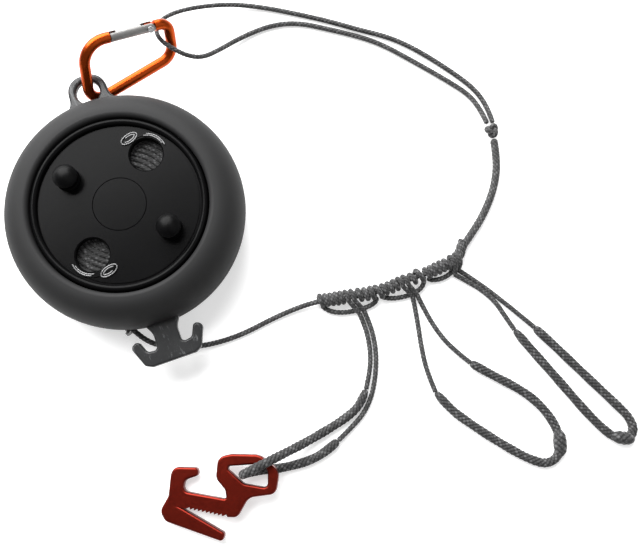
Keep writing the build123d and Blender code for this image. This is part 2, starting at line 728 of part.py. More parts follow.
SPLICES = {
    "prusik_1_splice": [
        (60.2, -88.2, SPLICE_LOW),
        (56.4, -92.9, SPLICE_LOW),
        (49.8, -95.5, SPLICE_LOW),
        (41.9, -97.2, SPLICE_LOW),
        (34.4, -98.5, 2.4),
        (27.6, -99.2, 5.8),
        (21.6, -99.7, 9.4),
        (15.8, -100.3, 10.7),
        (11.5, -101.0, 10.3),
        (9.0, -101.4, 7.7),
        (9.0, -101.5, 4.2),
        (11.5, -101.9, SPLICE_LOW),
        (16.4, -102.9, SPLICE_LOW),
        (23.4, -104.5, SPLICE_LOW),
        (31.8, -105.3, SPLICE_LOW),
        (38.8, -104.4, SPLICE_LOW),
        (44.6, -102.0, SPLICE_LOW),
    ],
    "prusik_2_splice": [
        (83.7, -97.6, SPLICE_LOW),
        (86.4, -104.9, SPLICE_LOW),
        (91.2, -111.9, SPLICE_LOW),
        (97.0, -119.6, SPLICE_LOW),
        (103.0, -126.8, SPLICE_LOW),
        (107.6, -131.6, SPLICE_LOW),
        (112.2, -134.9, SPLICE_LOW),
        (117.0, -134.2, SPLICE_LOW),
        (120.2, -129.4, SPLICE_LOW),
        (120.5, -123.4, SPLICE_LOW),
        (119.0, -117.2, SPLICE_LOW),
        (115.9, -110.8, SPLICE_LOW),
        (111.0, -104.6, SPLICE_LOW),
        (104.9, -98.3, SPLICE_LOW),
        (99.5, -92.0, SPLICE_LOW),
    ],
    "prusik_3_splice": [
        (119.3, -86.2, SPLICE_LOW),
        (121.4, -92.2, SPLICE_LOW),
        (125.0, -101.6, SPLICE_LOW),
        (129.0, -112.2, SPLICE_LOW),
        (132.4, -121.4, SPLICE_LOW),
        (135.6, -128.8, SPLICE_LOW),
        (138.9, -134.4, SPLICE_LOW),
        (143.4, -137.0, SPLICE_LOW),
        (147.0, -134.4, SPLICE_LOW),
        (147.0, -129.6, SPLICE_LOW),
        (144.8, -124.8, SPLICE_LOW),
        (140.0, -115.0, SPLICE_LOW),
        (134.9, -104.6, SPLICE_LOW),
        (130.4, -95.2, SPLICE_LOW),
        (126.6, -87.8, SPLICE_LOW),
    ],
}
LUMPS = {
    "prusik_2_lump": ((120.3, -127.4, 2.6), (118.6, -132.2, 2.6)),
    "prusik_3_lump": ((139.6, -134.4, 2.6), (143.6, -136.6, 2.6)),
}
LUMP_D = 5.0


def capsule(start, end, diameter):
    """A bar with rounded ends."""
    a, b = Vector(*start), Vector(*end)
    body = along(a, (b - a).normalized(), diameter / 2, (b - a).length)
    return body + Pos(*a) * Sphere(diameter / 2) + Pos(*b) * Sphere(diameter / 2)


# ---------------------------------------------------------------- writing
write(build_frame(), "housing_frame")
write(build_front_ring(), "front_ring")
write(build_rear_ring(), "rear_ring")
write(build_rear_cover(), "rear_cover")
write(build_cover_screws(), "cover_screws")
write(build_line_eyelet(), "line_eyelet")
write(build_crank_disc(), "crank_disc")
write(build_spool_core(), "spool_core")
write(build_bush(), "spool_bush")
write(build_finger_peg(135), "finger_peg_a")
write(build_finger_peg(315), "finger_peg_b")
write(build_wound_line(), "wound_line")
write(build_axle_washer(), "axle_washer")
write(build_axle_screw(), "axle_screw")
write(build_hub_cap(), "hub_cap")
write(build_carabiner_body(), "carabiner_body")
write(build_carabiner_gate(), "carabiner_gate")
write(build_gate_rivet(), "gate_rivet")
write(build_gate_spring(), "gate_spring")
write(build_gate_plunger(), "gate_plunger")
write(build_line_hook(), "line_hook")

cord([tuple(LEAD_START), tuple(EXIT_POINT)], LINE_D, "line_lead")
cord(LINE_ROUTE, LINE_D, "ridgeline")
cord(BURY_ROUTE, BURY_D, "ridgeline_splice")
cord(END_LOOP_ROUTE, LINE_D, "end_loop")
for legs, size in ((LEGS, LEG_D), (SPLICES, SPLICE_D)):
    for name, route in legs.items():
        cord(route, size, name)
for number, (start, end) in enumerate(KNOTS, 1):
    a, b = Vector(*start, KNOT_Z), Vector(*end, KNOT_Z)
    write(along(a, (b - a).normalized(), KNOT_D / 2, (b - a).length), f"prusik_{number}_knot")
    cord(BRIDGES[number - 1], BRIDGE_D, f"prusik_{number}_bridge")
for name, (start, end) in LUMPS.items():
    write(capsule(start, end, LUMP_D), name)
write(Pos(*END_KNOT) * Sphere(3.2) + capsule(END_KNOT, (142.4, -11.2, 2.2), LINE_D), "end_knot")
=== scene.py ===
import math

import bmesh
import bpy
import numpy as np
from mathutils import Matrix, Vector


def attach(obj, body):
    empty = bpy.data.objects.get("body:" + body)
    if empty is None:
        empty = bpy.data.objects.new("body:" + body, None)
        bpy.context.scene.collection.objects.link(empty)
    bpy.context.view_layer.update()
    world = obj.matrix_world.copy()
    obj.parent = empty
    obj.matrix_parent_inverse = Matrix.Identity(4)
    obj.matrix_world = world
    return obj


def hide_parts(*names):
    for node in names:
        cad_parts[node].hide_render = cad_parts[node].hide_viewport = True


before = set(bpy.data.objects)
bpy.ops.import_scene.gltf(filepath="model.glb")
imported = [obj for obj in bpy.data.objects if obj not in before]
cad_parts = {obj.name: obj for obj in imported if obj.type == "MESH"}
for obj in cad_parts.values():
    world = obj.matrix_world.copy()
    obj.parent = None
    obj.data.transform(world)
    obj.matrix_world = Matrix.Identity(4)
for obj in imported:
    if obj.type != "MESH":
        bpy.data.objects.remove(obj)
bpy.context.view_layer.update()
scene = bpy.context.scene

# ================================================================ camera
# It stands over the laid-out line, a little to the reel's right, and leans slightly
# towards the reel. Its lens is a short portrait one.
lens = bpy.data.cameras.new("camera")
lens.sensor_width, lens.lens = 36, 42.32
lens.clip_start, lens.clip_end = 0.01, 10
camera = bpy.data.objects.new("camera", lens)
camera.location = (0.03947, -0.08012, 0.27695)
camera.rotation_euler = [math.radians(a) for a in (8.724, -1.077, -19.519)]
scene.collection.objects.link(camera)
scene.camera = camera

# ================================================================ line and loops
# The line is a 2 mm hollow braid. Its tail is buried back inside it towards the end knot, and
# the long end loop goes on from that knot, round the carabiner and back.
LINE_RADIUS = 0.001
LINE_STRANDS, LINE_PICK = 4, 0.0014
LOOP_END_PICK = 0.0015
BURIED_RADIUS = 0.0015
BURIED_STRANDS, BURIED_PICK = 6, 0.0016
FINE_STEP, COARSE_STEP = 0.00025, 0.0003
RIDGELINE_ROUTE = [
    (-0.01163, -0.04057, 0.0068), (-0.00927, -0.0452, 0.0062), (-0.0036, -0.0496, 0.0036),
    (0.0046, -0.0527, 0.0016), (0.0145, -0.0544, 0.001), (0.025, -0.0544, 0.001),
    (0.0368, -0.0526, 0.001), (0.047, -0.0519, 0.0015), (0.0552, -0.0524, 0.0029),
    (0.0642, -0.0546, 0.0029), (0.0759, -0.0564, 0.0029), (0.0854, -0.0561, 0.0029),
    (0.0944, -0.0557, 0.0029), (0.1026, -0.0562, 0.0029), (0.1076, -0.055, 0.0027),
    (0.111, -0.0518, 0.0022),
]
BURIED_ROUTE = [
    (0.111, -0.0518, 0.0022), (0.1166, -0.0479, 0.0016), (0.1244, -0.042, 0.0015),
    (0.1322, -0.0334, 0.0015), (0.1372, -0.0238, 0.0015), (0.1387, -0.0156, 0.0022),
]
END_LOOP_ROUTE = [
    (0.1406, -0.0098, 0.0026), (0.1416, -0.0039, 0.0013), (0.1398, 0.0056, 0.001),
    (0.1328, 0.0166, 0.001), (0.1234, 0.0289, 0.001), (0.1154, 0.0368, 0.001), (0.105, 0.0437, 0.001),
    (0.0958, 0.0504, 0.001), (0.0849, 0.0574, 0.001), (0.0732, 0.0644, 0.001),
    (0.0618, 0.0691, 0.0022), (0.0499, 0.0706, 0.005), (0.0402, 0.0694, 0.009),
    (0.0337, 0.0666, 0.012), (0.0305, 0.0621, 0.0138), (0.0312, 0.0573, 0.0146),
    (0.0345, 0.053, 0.0142), (0.0386, 0.0501, 0.0112), (0.044, 0.0495, 0.007),
    (0.0514, 0.0523, 0.0032), (0.0606, 0.0553, 0.0013), (0.0726, 0.0565, 0.001),
    (0.0834, 0.0542, 0.001), (0.0944, 0.0474, 0.001), (0.105, 0.0404, 0.001), (0.1122, 0.0344, 0.001),
    (0.121, 0.0242, 0.001), (0.1306, 0.0126, 0.001), (0.1368, 0.0042, 0.001),
    (0.1386, -0.0034, 0.0014), (0.1384, -0.0094, 0.0028),
]


def laid_line(route, step):
    """Evenly spaced points along the smooth line through a route."""
    curve = bpy.data.curves.new("route", "CURVE")
    curve.dimensions, curve.resolution_u = "3D", 24
    spline = curve.splines.new("NURBS")
    spline.points.add(len(route) - 1)
    for point, place in zip(spline.points, route):
        point.co = (*place, 1)
    spline.order_u, spline.use_endpoint_u = 3, True
    holder = bpy.data.objects.new("route", curve)
    drawn = bpy.data.meshes.new_from_object(holder)
    line = np.array([v.co for v in drawn.vertices])
    bpy.data.objects.remove(holder)
    bpy.data.meshes.remove(drawn)
    return evenly(line, step)


def evenly(line, step):
    """The same line with its points a step apart."""
    gone = np.concatenate([[0], np.cumsum(np.linalg.norm(np.diff(line, axis=0), axis=1))])
    stops = np.linspace(0, gone[-1], max(4, round(gone[-1] / step)) + 1)
    return np.stack([np.interp(stops, gone, line[:, k]) for k in range(3)], axis=1)


def weave_height(a, b):
    """Height of a braid's surface, 0 to 1: strong ridges one way, crossed by lower ones."""
    fa, fb = a - np.floor(a), b - np.floor(b)
    return np.sqrt(np.sin(np.pi * fa)) * (0.68 + 0.32 * np.sin(np.pi * fb))


def braided_tube(name, line, radius, strands, pick, relief, around=24, swell=None, ends=(1, 1)):
    """A braid round a line: strands in each direction, pick is their spacing along the line."""
    count = len(line)
    ahead = np.gradient(line, axis=0)
    ahead /= np.linalg.norm(ahead, axis=1)[:, None]
    side = np.cross(ahead[0], (0, 0, 1.0))
    if np.linalg.norm(side) < 0.1:
        side = np.cross(ahead[0], (0, 1.0, 0))
    sides = []
    for t in ahead:
        side = side - t * np.dot(side, t)
        side = side / np.linalg.norm(side)
        sides.append(side)
    sides = np.array(sides)
    ups = np.cross(ahead, sides)
    gone = np.concatenate([[0], np.cumsum(np.linalg.norm(np.diff(line, axis=0), axis=1))])
    along, turn = gone[:, None] / pick, (np.arange(around) / around * strands)[None, :]
    height = weave_height(turn + along, turn - along)
    thick = radius * np.ones(count) if swell is None else radius * swell(gone / gone[-1])
    radii = thick[:, None] * (1 - relief * (1 - height))
    for end, far in ((ends[0], gone), (ends[1], gone[-1] - gone)):
        if end:
            near = np.clip(far / (end * radius), 0, 1)
            radii = radii * np.sqrt(np.clip(1 - (1 - near) ** 2, 0.02, 1))[:, None]
    angles = (np.arange(around) / around * 2 * np.pi)[None, :, None]
    skin = line[:, None, :] + radii[:, :, None] * (
        np.cos(angles) * sides[:, None, :] + np.sin(angles) * ups[:, None, :]
    )
    ring, spoke = np.meshgrid(np.arange(count - 1), np.arange(around), indexing="ij")
    after = (spoke + 1) % around
    here, beyond = ring * around, (ring + 1) * around
    quads = np.stack([here + spoke, here + after, beyond + after, beyond + spoke], axis=-1).reshape(-1, 4)
    caps = [list(range(around))[::-1], [(count - 1) * around + k for k in range(around)]]
    mesh = bpy.data.meshes.new(name)
    mesh.from_pydata(skin.reshape(-1, 3).tolist(), [], quads.tolist() + caps)
    u = np.stack([spoke, spoke + 1, spoke + 1, spoke], axis=-1) / around * strands
    v = np.stack([gone[ring], gone[ring], gone[ring + 1], gone[ring + 1]], axis=-1) / pick
    weave = np.zeros((len(mesh.loops), 2), np.float32)
    weave[: u.size] = np.stack([u.ravel(), v.ravel()], axis=1)
    mesh.uv_layers.new(name="weave").data.foreach_set("uv", weave.ravel())
    mesh.shade_smooth()
    piece = bpy.data.objects.new(name, mesh)
    scene.collection.objects.link(piece)
    return piece


def wire(tree, kind, *inputs, out=0, **settings):
    """Adds a shader node, links or sets its inputs in order and returns an output.

    An input given as None stays as it is.
    """
    node = tree.nodes.new("ShaderNode" + kind)
    for key, value in settings.items():
        setattr(node, key, value)
    for socket, value in zip([s for s in node.inputs if s.enabled], inputs):
        if isinstance(value, bpy.types.NodeSocket):
            tree.links.new(value, socket)
        elif value is not None:
            socket.default_value = value
    return node.outputs[out]


def sums(tree, operation, *inputs):
    """One step of arithmetic."""
    return wire(tree, "Math", *inputs, operation=operation)


def mixed(tree, share, first, second):
    """A mix of two colours."""
    node = tree.nodes.new("ShaderNodeMix")
    node.data_type = "RGBA"
    for socket, value in zip((node.inputs[0], node.inputs[6], node.inputs[7]), (share, first, second)):
        if isinstance(value, bpy.types.NodeSocket):
            tree.links.new(value, socket)
        else:
            socket.default_value = value
    return node.outputs[2]


def new_material(name):
    """A material with its node tree and its shader."""
    made = bpy.data.materials.new(name)
    made.use_nodes = True
    shader = made.node_tree.nodes["Principled BSDF"]
    return made, made.node_tree, shader


def braid_material(name, dark, light, fleck, crease_shade):
    """Braided cord: two families of strands, some darker, with fine fibres, and painted shade darkening the
    gaps between strands.
    """
    made, tree, shader = new_material(name)
    shader.inputs["Roughness"].default_value = 0.72
    shader.inputs["Sheen Weight"].default_value = 0.25
    shader.inputs["Sheen Roughness"].default_value = 0.4
    shader.inputs["Specular IOR Level"].default_value = 0.35
    uv = wire(tree, "UVMap", uv_map="weave")
    split = tree.nodes.new("ShaderNodeSeparateXYZ")
    tree.links.new(uv, split.inputs[0])
    a = sums(tree, "ADD", split.outputs[0], split.outputs[1])
    b = sums(tree, "SUBTRACT", split.outputs[0], split.outputs[1])
    across, length = sums(tree, "FRACT", a), sums(tree, "FRACT", b)
    ridge = sums(tree, "SQRT", sums(tree, "SINE", sums(tree, "MULTIPLY", across, math.pi)))
    cross = sums(tree, "SINE", sums(tree, "MULTIPLY", length, math.pi))
    cell = wire(tree, "CombineXYZ", sums(tree, "FLOOR", a), sums(tree, "FLOOR", b), 0.0)
    yarn = tree.nodes.new("ShaderNodeTexWhiteNoise")
    tree.links.new(cell, yarn.inputs["Vector"])
    spots = wire(tree, "CombineXYZ", sums(tree, "MULTIPLY", a, 3.4), sums(tree, "MULTIPLY", b, 1.1), 0.0)
    fibre = wire(tree, "TexNoise", spots, 2.0, 3.0, 0.6)
    tone = mixed(tree, wire(tree, "MapRange", fibre, 0.42, 0.58, 0.0, 1.0), dark, light)
    pale_yarn = sums(tree, "MULTIPLY", sums(tree, "GREATER_THAN", yarn.outputs[0], 0.66), 0.6)
    tone = mixed(tree, sums(tree, "MULTIPLY", pale_yarn, cross), tone, fleck)
    crown = sums(tree, "MULTIPLY", ridge, wire(tree, "MapRange", cross, 0.0, 0.6, 0.6, 1.0))
    crease_shade_share = sums(tree, "SUBTRACT", 1.0, crown)
    # Painted shade: the colour goes towards the dark crease colour wherever the strands dip into the gaps
    # between them.
    tone = mixed(tree, sums(tree, "POWER", crease_shade_share, 0.65), tone, crease_shade)
    tree.links.new(tone, shader.inputs["Base Color"])
    height = sums(tree, "ADD", ridge, sums(tree, "MULTIPLY", fibre, 0.6))
    bump = wire(tree, "Bump", 0.6, 0.00012, None, height)
    tree.links.new(bump, shader.inputs["Normal"])
    return made


LINE_BRAID = braid_material(
    "line_braid",
    dark=(0.014, 0.014, 0.0145, 1),
    light=(0.085, 0.085, 0.086, 1),
    fleck=(0.15, 0.15, 0.152, 1),
    crease_shade=(0.003, 0.003, 0.003, 1),
)
LEAD_ROUTE = [(-0.02563, -0.01314, 0.0068), (-0.01863, -0.02685, 0.0068), (-0.01163, -0.04057, 0.0068)]


def pulled_thin(s):
    """The end loop's braid is pulled thinner where it bends round the carabiner."""
    return 1 - 0.14 * np.exp(-(((s - 0.47) / 0.11) ** 2))


lead = braided_tube(
    "lead_braid", laid_line(LEAD_ROUTE, FINE_STEP),
    LINE_RADIUS, LINE_STRANDS, LINE_PICK, 0.18, 20, ends=(1, 0),
)
ridgeline = braided_tube(
    "ridgeline_braid", laid_line(RIDGELINE_ROUTE, FINE_STEP),
    LINE_RADIUS, LINE_STRANDS, LINE_PICK, 0.2, ends=(0, 0),
)
buried = braided_tube(
    "buried_tail_braid", laid_line(BURIED_ROUTE, FINE_STEP),
    BURIED_RADIUS, BURIED_STRANDS, BURIED_PICK, 0.2, 34,
)
end_loop = braided_tube(
    "end_loop_braid", laid_line(END_LOOP_ROUTE, COARSE_STEP),
    LINE_RADIUS, LINE_STRANDS, LOOP_END_PICK, 0.2, swell=pulled_thin,
)
for piece, node in (
    (lead, "line_lead"), (ridgeline, "ridgeline"), (buried, "ridgeline_splice"), (end_loop, "end_loop"),
):
    piece.data.materials.append(LINE_BRAID)
    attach(piece, "reel")
    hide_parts(node)


# ================================================================ end knot
# A plain overhand knot in the same braid, pulled tight where the buried tail ends and the two
# runs of the end loop begin.
KNOT_MIDDLE = Vector((0.139, -0.0126, 0.0032))
turns = np.linspace(0, 2 * math.pi, 160)
KNOT_SIZE, KNOT_CORD_RADIUS = 0.00068, 0.00098
trefoil = np.stack(
    [
        np.sin(turns) + 2 * np.sin(2 * turns),
        np.cos(turns) - 2 * np.cos(2 * turns),
        -1.1 * np.sin(3 * turns),
    ],
    axis=1,
)
knot_line = evenly(np.array(KNOT_MIDDLE) + trefoil * KNOT_SIZE, 0.0002)
end_knot = braided_tube(
    "end_knot_braid", knot_line, KNOT_CORD_RADIUS, LINE_STRANDS, LINE_PICK, 0.16, ends=(0, 0)
)
end_knot.data.materials.append(LINE_BRAID)
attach(end_knot, "reel")
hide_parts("end_knot")

# ================================================================ sliding loops
# Three loops of thin braid are knotted on the line. Each has its tail buried inside it, so most
# of the loop is thick and stiff, and only the two legs next to the knot keep the bare braid.
LEG_RADIUS = 0.00095
LEG_STRANDS, LEG_PICK, LEG_RELIEF = 4, 0.0013, 0.2
SPLICE_RADIUS = 0.0017
SPLICE_STRANDS, SPLICE_PICK = 6, 0.0017
LOOP_BRAID = braid_material(
    "loop_braid",
    dark=(0.008, 0.008, 0.0085, 1),
    light=(0.072, 0.072, 0.073, 1),
    fleck=(0.15, 0.15, 0.152, 1),
    crease_shade=(0.0015, 0.0015, 0.0016, 1),
)
LOOP_ROUTES = {
    "prusik_1_leg_a": [
        (0.0674, -0.0616, 0.0016), (0.0678, -0.0668, 0.00095), (0.0672, -0.0724, 0.00095),
        (0.0658, -0.078, 0.00095), (0.0633, -0.0834, 0.0012), (0.0602, -0.0882, 0.0017),
    ],
    "prusik_1_leg_b": [
        (0.0693, -0.061, 0.0016), (0.0698, -0.0668, 0.00095), (0.0692, -0.0728, 0.00095),
        (0.0678, -0.0786, 0.00095), (0.0652, -0.0848, 0.00095), (0.0616, -0.091, 0.00095),
        (0.0568, -0.096, 0.00095), (0.0506, -0.0994, 0.0012), (0.0446, -0.102, 0.0017),
    ],
    "prusik_2_leg_a": [
        (0.0882, -0.0619, 0.0015), (0.0874, -0.0676, 0.00095), (0.0861, -0.074, 0.00095),
        (0.0846, -0.0812, 0.00095), (0.0834, -0.0896, 0.0012), (0.0837, -0.0976, 0.0017),
    ],
    "prusik_2_leg_b": [
        (0.0899, -0.0619, 0.0015), (0.0906, -0.068, 0.00095), (0.092, -0.0762, 0.00095),
        (0.0949, -0.0846, 0.0012), (0.0995, -0.092, 0.0017),
    ],
    "prusik_3_leg_a": [
        (0.1076, -0.0584, 0.0016), (0.1112, -0.0628, 0.00095), (0.1148, -0.0678, 0.00095),
        (0.1184, -0.0735, 0.00095), (0.1226, -0.0806, 0.0012), (0.1266, -0.0878, 0.0017),
    ],
    "prusik_3_leg_b": [
        (0.1058, -0.0596, 0.0016), (0.1098, -0.0639, 0.00095), (0.1138, -0.0689, 0.00095),
        (0.1167, -0.0744, 0.00095), (0.118, -0.0804, 0.0012), (0.1193, -0.0862, 0.0017),
    ],
    "prusik_1_splice": [
        (0.0602, -0.0882, 0.0017), (0.0564, -0.0929, 0.0017), (0.0498, -0.0955, 0.0017),
        (0.0419, -0.0972, 0.0017), (0.0344, -0.0985, 0.0024), (0.0276, -0.0992, 0.0058),
        (0.0216, -0.0997, 0.0094), (0.0158, -0.1003, 0.0107), (0.0115, -0.101, 0.0103),
        (0.009, -0.1014, 0.0077), (0.009, -0.1015, 0.0042), (0.0115, -0.1019, 0.0017),
        (0.0164, -0.1029, 0.0017), (0.0234, -0.1045, 0.0017), (0.0318, -0.1053, 0.0017),
        (0.0388, -0.1044, 0.0017), (0.0446, -0.102, 0.0017),
    ],
    "prusik_2_splice": [
        (0.0837, -0.0976, 0.0017), (0.0864, -0.1049, 0.0017), (0.0912, -0.1119, 0.0017),
        (0.097, -0.1196, 0.0017), (0.103, -0.1268, 0.0017), (0.1076, -0.1316, 0.0017),
        (0.1122, -0.1349, 0.0017), (0.117, -0.1342, 0.0017), (0.1202, -0.1294, 0.0017),
        (0.1205, -0.1234, 0.0017), (0.119, -0.1172, 0.0017), (0.1159, -0.1108, 0.0017),
        (0.111, -0.1046, 0.0017), (0.1049, -0.0983, 0.0017), (0.0995, -0.092, 0.0017),
    ],
    "prusik_3_splice": [
        (0.1193, -0.0862, 0.0017), (0.1214, -0.0922, 0.0017), (0.125, -0.1016, 0.0017),
        (0.129, -0.1122, 0.0017), (0.1324, -0.1214, 0.0017), (0.1356, -0.1288, 0.0017),
        (0.1389, -0.1344, 0.0017), (0.1434, -0.137, 0.0017), (0.147, -0.1344, 0.0017),
        (0.147, -0.1296, 0.0017), (0.1448, -0.1248, 0.0017), (0.14, -0.115, 0.0017),
        (0.1349, -0.1046, 0.0017), (0.1304, -0.0952, 0.0017), (0.1266, -0.0878, 0.0017),
    ],
}


def throat_taper(s):
    """A buried tail thins out towards its splice's throat: slowly at one end, sharply at the other."""
    return np.minimum(np.minimum(1, 0.66 + 9 * s), 0.86 + 6 * (1 - s)) * (1 + 0.03 * np.sin(61 * s))


for name, route in LOOP_ROUTES.items():
    thick = name.endswith("splice")
    if thick:
        piece = braided_tube(
            name + "_braid", laid_line(route, COARSE_STEP),
            SPLICE_RADIUS, SPLICE_STRANDS, SPLICE_PICK, 0.3, 42, throat_taper, (0.8, 0.8),
        )
    else:
        piece = braided_tube(
            name + "_braid", laid_line(route, FINE_STEP),
            LEG_RADIUS, LEG_STRANDS, LEG_PICK, LEG_RELIEF, 22, ends=(0, 0),
        )
    piece.data.materials.append(LOOP_BRAID)
    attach(piece, "reel")
    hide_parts(name)

# ================================================================ friction knots
# Each knot wraps the loop's braid round the line in groups of tight turns, crosses a doubled
# band over the middle that becomes the two legs, and closes below with a slack bight.
KNOT_AXIS_HEIGHT = 0.0029
WRAP_RADIUS = 0.00185
BAND_HALF_GAP = 0.00105
SLEEVE_ROUTE = [
    (0.1036, -0.0561, 0.0029), (0.1084, -0.0548, 0.0029),
    (0.1113, -0.0516, 0.0027), (0.1134, -0.0486, 0.0022),
]
SLEEVE_STRANDS, SLEEVE_TURNS = 4, 1.3
SLEEVE_RADIUS, SLEEVE_NARROWS = 0.00125, 0.0003
KNOTS = {
    1: {
        "ends": ((0.0554, -0.0525), (0.0752, -0.0562)),
        "groups": ((-0.04, 0.43, 5, 1.0), (0.66, 1.0, 3, 1.04)),
        "band": 0.55,
        "bight": [
            (0.0559, -0.0556, 0.0016), (0.0586, -0.058, 0.0013), (0.0634, -0.0597, 0.0011),
            (0.0683, -0.0602, 0.0012), (0.0728, -0.0602, 0.0013), (0.0756, -0.0588, 0.0018),
        ],
    },
    2: {
        "ends": ((0.0766, -0.0564), (0.0942, -0.0558)),
        "groups": (
            (-0.08, 0.08, 1, 1.25), (0.07, 0.44, 3, 0.96), (0.70, 0.84, 1, 0.96), (0.84, 1.02, 1, 1.28),
        ),
        "band": 0.57,
        "bight": [
            (0.0776, -0.0588, 0.0016), (0.0808, -0.0604, 0.0012), (0.085, -0.0612, 0.0011),
            (0.0892, -0.0612, 0.0011), (0.0924, -0.0603, 0.0013), (0.0942, -0.0584, 0.0019),
        ],
    },
    3: {
        "ends": ((0.0956, -0.0559), (0.1086, -0.0546)),
        "groups": ((-0.04, 0.72, 5, 0.94),),
        "band": 0.93,
        "bight": [
            (0.0962, -0.0585, 0.0016), (0.0992, -0.0594, 0.0012), (0.1024, -0.0594, 0.0011),
            (0.1056, -0.0584, 0.0014),
        ],
    },
}


def joined(name, parts):
    """Several meshes as one piece."""
    whole = bmesh.new()
    for part in parts:
        whole.from_mesh(part.data)
        bpy.data.objects.remove(part)
    mesh = bpy.data.meshes.new(name)
    whole.to_mesh(mesh)
    whole.free()
    mesh.shade_smooth()
    piece = bpy.data.objects.new(name, mesh)
    scene.collection.objects.link(piece)
    return piece


def strand(points):
    """One strand of loop braid through the points of a knot."""
    return braided_tube(
        "strand", evenly(points, FINE_STEP),
        LEG_RADIUS, LEG_STRANDS, LEG_PICK, LEG_RELIEF, 18, ends=(0.6, 0.6),
    )


knot_pieces = {}
for number, knot in KNOTS.items():
    first, last = [Vector((*end, KNOT_AXIS_HEIGHT)) for end in knot["ends"]]
    axis, reach = (last - first).normalized(), (last - first).length
    front = Vector((axis.y, -axis.x, 0))

    def on_knot(share, degrees, radius):
        """A point round the knot: 0 degrees is the front, 90 the top."""
        angle = math.radians(degrees)
        out = front * math.cos(angle) + Vector((0, 0, 1)) * math.sin(angle)
        return tuple(first + axis * (reach * share) + out * radius)

    strands = []
    for low, high, count, size in knot["groups"]:
        lean = 0.14 if number == 3 else 0.05
        turns = [
            on_knot(
                low + (high - low) * (s + lean * math.sin(2 * math.pi * count * s + 1.2) / count),
                -80 - 360 * count * s,
                WRAP_RADIUS * size * (1 + 0.05 * math.sin(9 * s + number)),
            )
            for s in np.linspace(0, 1, 48 * count)
        ]
        strands.append(strand(np.maximum(np.array(turns), (-1, -1, LEG_RADIUS))))
    for leg, side in (("leg_a", -1), ("leg_b", 1)):
        if number == 3:
            side = -side
        start = Vector(LOOP_ROUTES[f"prusik_{number}_{leg}"][0])
        share = knot["band"] + side * BAND_HALF_GAP / reach
        over = [on_knot(share - 0.04, a, WRAP_RADIUS + 0.0002) for a in (235, 205, 175, 140)]
        over += [on_knot(share, a, WRAP_RADIUS + 0.0005) for a in (105, 70, 40)]
        over += [tuple((Vector(over[-1]) + start) / 2 + Vector((0, 0, 0.0006))), tuple(start)]
        strands.append(strand(laid_line(over, FINE_STEP)))
    if number == 3:
        sleeve = laid_line(SLEEVE_ROUTE, COARSE_STEP)
        heading = np.gradient(sleeve, axis=0)
        heading /= np.linalg.norm(heading, axis=1)[:, None]
        across = np.stack([heading[:, 1], -heading[:, 0], np.zeros(len(sleeve))], axis=1)
        shrink = SLEEVE_RADIUS - SLEEVE_NARROWS * np.linspace(0, 1, len(sleeve)) ** 4
        for k in range(SLEEVE_STRANDS):
            turn = np.linspace(0, SLEEVE_TURNS * 2 * np.pi, len(sleeve)) + k * 2 * np.pi / SLEEVE_STRANDS
            around = across * (np.cos(turn) * shrink)[:, None]
            around = around + np.array([0, 0, 1.0]) * (np.sin(turn) * shrink)[:, None]
            strands.append(strand(sleeve + around))
    wraps = joined(f"prusik_{number}_wraps", strands)
    closing = [on_knot(0.0, -35, WRAP_RADIUS)] + knot["bight"] + [on_knot(1.0, -35, WRAP_RADIUS)]
    bight = braided_tube(
        f"prusik_{number}_bight", laid_line(closing, FINE_STEP),
        LEG_RADIUS, LEG_STRANDS, LEG_PICK, LEG_RELIEF, 22,
    )
    for piece, node in ((wraps, f"prusik_{number}_knot"), (bight, f"prusik_{number}_bridge")):
        piece.data.materials.append(LOOP_BRAID)
        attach(piece, "reel")
        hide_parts(node)
    knot_pieces[number] = [wraps, bight]

# ================================================================ thick places
# Two of the loops have a thick place at the far bend, where the buried tails meet and overlap
# inside the braid.
THICK_PLACES = {
    2: ((0.1203, -0.1268, 0.0026), (0.1186, -0.1322, 0.0026)),
    3: ((0.1396, -0.1344, 0.0026), (0.1436, -0.1366, 0.0026)),
}
THICK_RADIUS, THICK_RUN_OUT = 0.0025, 0.0021


def spindle(s):
    """Full in the middle and thinner to both ends."""
    return 0.66 + 0.32 * np.sin(np.pi * s)


for number, (start, stop) in THICK_PLACES.items():
    a, b = Vector(start), Vector(stop)
    way = (b - a).normalized() * THICK_RUN_OUT
    line = evenly(np.array([a - way, a, b, b + way]), FINE_STEP)
    lump = braided_tube(
        f"prusik_{number}_thick_place", line, THICK_RADIUS, SPLICE_STRANDS, 0.002, 0.16, 40, swell=spindle
    )
    lump.data.materials.append(LOOP_BRAID)
    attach(lump, "reel")
    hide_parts(f"prusik_{number}_lump")
    knot_pieces[number].append(lump)

# ================================================================ free cords
# The line, its end loop and the sliding loops lie loose on the table. Their routes are laid out again here
# as points, which nothing further uses.


def declared(route):
    """Lays out a cord's route as points a millimetre apart; the points are not kept."""
    line = laid_line(route, 0.001)


declared(RIDGELINE_ROUTE)
declared(BURIED_ROUTE)
declared(END_LOOP_ROUTE)
CORD_LENGTHS = {
    "prusik_1_leg_b": 0.052,
    "prusik_2_leg_a": 0.036,
    "prusik_2_leg_b": 0.032,
    "prusik_3_leg_a": 0.035,
    "prusik_1_splice": 0.0975,
    "prusik_2_splice": 0.102,
    "prusik_3_splice": 0.112,
}
for name, length in CORD_LENGTHS.items():
    number = int(name[7])
    declared(LOOP_ROUTES[name])

